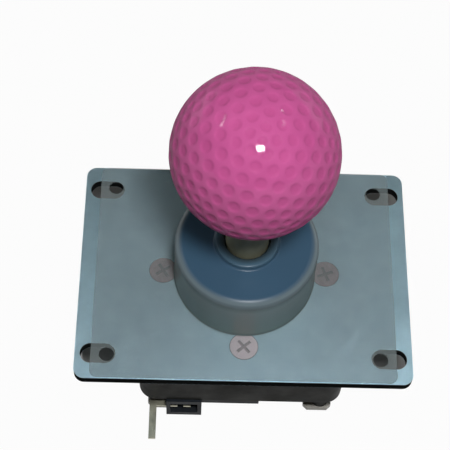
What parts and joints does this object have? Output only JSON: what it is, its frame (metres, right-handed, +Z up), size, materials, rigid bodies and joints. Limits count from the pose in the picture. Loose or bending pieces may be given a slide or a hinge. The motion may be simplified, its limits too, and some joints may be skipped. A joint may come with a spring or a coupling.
{
  "type": "arcade joystick lever",
  "caption": "Panel-mount arcade joystick lever with a golf ball knob, milky dust boot, steel plate and a square-gated microswitch base.",
  "frame": {"origin": "on the lever's axis at the top face of the mounting plate, at the centre of the panel bolts", "axes": "+Z up along the lever, +X to the player's right, +Y away from the player"},
  "size_m": [0.095, 0.081, 0.1269],
  "materials": {
    "pink_cover": "glossy pink golf ball cover",
    "sleeve_grey": "pale grey moulded sleeve",
    "bright_steel": "bright turned steel",
    "white_nylon": "natural nylon",
    "milky_boot": "milky see-through soft plastic",
    "zinc_plate": "zinc-plated steel sheet",
    "screw_steel": "plated screw steel",
    "black_moulding": "black moulded nylon",
    "spring_steel": "spring steel",
    "ivory_nylon": "ivory moulded nylon",
    "switch_black": "black phenolic case",
    "plunger_red": "red moulded plunger",
    "tinned_brass": "tinned brass strip"
  },
  "bodies": {
    "base": {"mounting_plate": "zinc_plate", "plate_screws": "screw_steel", "housing": "black_moulding", "spring_washer": "bright_steel", "gate_plate": "ivory_nylon", "gate_screws": "screw_steel", "dust_boot": "milky_boot", "front_switch_case": "switch_black", "front_switch_cover": "switch_black", "front_switch_terminals": "tinned_brass", "right_switch_case": "switch_black", "right_switch_cover": "switch_black", "right_switch_terminals": "tinned_brass", "back_switch_case": "switch_black", "back_switch_cover": "switch_black", "back_switch_terminals": "tinned_brass", "left_switch_case": "switch_black", "left_switch_cover": "switch_black", "left_switch_terminals": "tinned_brass"},
    "spring": {"return_spring": "spring_steel"},
    "rocker": {"pivot_ball": "white_nylon", "actuator": "white_nylon"},
    "lever": {"lever_shaft": "bright_steel", "shaft_sleeve": "sleeve_grey", "golf_ball_knob": "pink_cover", "actuator_clip": "spring_steel"},
    "front_plunger": {"front_switch_plunger": "plunger_red"},
    "right_plunger": {"right_switch_plunger": "plunger_red"},
    "back_plunger": {"back_switch_plunger": "plunger_red"},
    "left_plunger": {"left_switch_plunger": "plunger_red"}
  },
  "joints": [
    {"name": "tilt_front_back", "type": "hinge", "parent": "base", "child": "spring", "pos_m": [0, 0, -0.006], "axis": [1, 0, 0], "range_deg": [-9, 9], "stiffness_Nm_per_rad": 1.2, "deforming": ["return_spring", "dust_boot"]},
    {"name": "tilt_left_right", "type": "hinge", "parent": "spring", "child": "rocker", "pos_m": [0, 0, -0.006], "axis": [0, 1, 0], "range_deg": [-9, 9], "stiffness_Nm_per_rad": 1.2, "deforming": ["return_spring", "dust_boot"]},
    {"name": "lever_spin", "type": "hinge", "parent": "rocker", "child": "lever", "pos_m": [0, 0, -0.006], "axis": [0, 0, 1], "continuous": true},
    {"name": "front_press", "type": "slide", "parent": "base", "child": "front_plunger", "axis": [0, -1, 0], "range_m": [0, 0.0009], "stiffness_N_per_m": 600, "springref_m": -0.0005},
    {"name": "right_press", "type": "slide", "parent": "base", "child": "right_plunger", "axis": [1, 0, 0], "range_m": [0, 0.0009], "stiffness_N_per_m": 600, "springref_m": -0.0005},
    {"name": "back_press", "type": "slide", "parent": "base", "child": "back_plunger", "axis": [0, 1, 0], "range_m": [0, 0.0009], "stiffness_N_per_m": 600, "springref_m": -0.0005},
    {"name": "left_press", "type": "slide", "parent": "base", "child": "left_plunger", "axis": [-1, 0, 0], "range_m": [0, 0.0009], "stiffness_N_per_m": 600, "springref_m": -0.0005}
  ]
}
